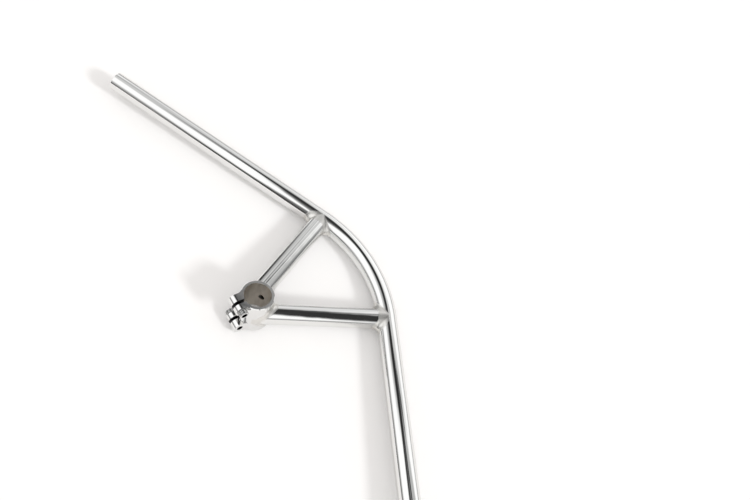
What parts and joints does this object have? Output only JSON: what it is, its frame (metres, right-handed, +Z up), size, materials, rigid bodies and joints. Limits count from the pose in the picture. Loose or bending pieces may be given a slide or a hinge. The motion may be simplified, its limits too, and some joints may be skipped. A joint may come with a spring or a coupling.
{
  "type": "integrated handlebar stem",
  "caption": "Swept-back bicycle handlebar brazed to two struts and a split clamp for the fork's steerer tube, in place of a separate stem.",
  "frame": {"origin": "where the steerer axis crosses the plane of the tubes", "axes": "+Z up along the steerer axis, +Y forward in the riding direction, +X to the rider's right"},
  "size_m": [0.685, 0.1768, 0.044],
  "materials": {
    "polished_chrome": "mirror polished",
    "satin_chrome": "satin",
    "bolt_steel": "satin"
  },
  "bodies": {
    "root": {"handlebar_tube": "polished_chrome", "left_strut_tube": "polished_chrome", "right_strut_tube": "polished_chrome", "steerer_clamp": "polished_chrome", "left_bar_fillet": "satin_chrome", "right_bar_fillet": "satin_chrome", "left_clamp_fillet": "satin_chrome", "right_clamp_fillet": "satin_chrome", "upper_pinch_bolt": "bolt_steel", "lower_pinch_bolt": "bolt_steel"}
  },
  "joints": []
}
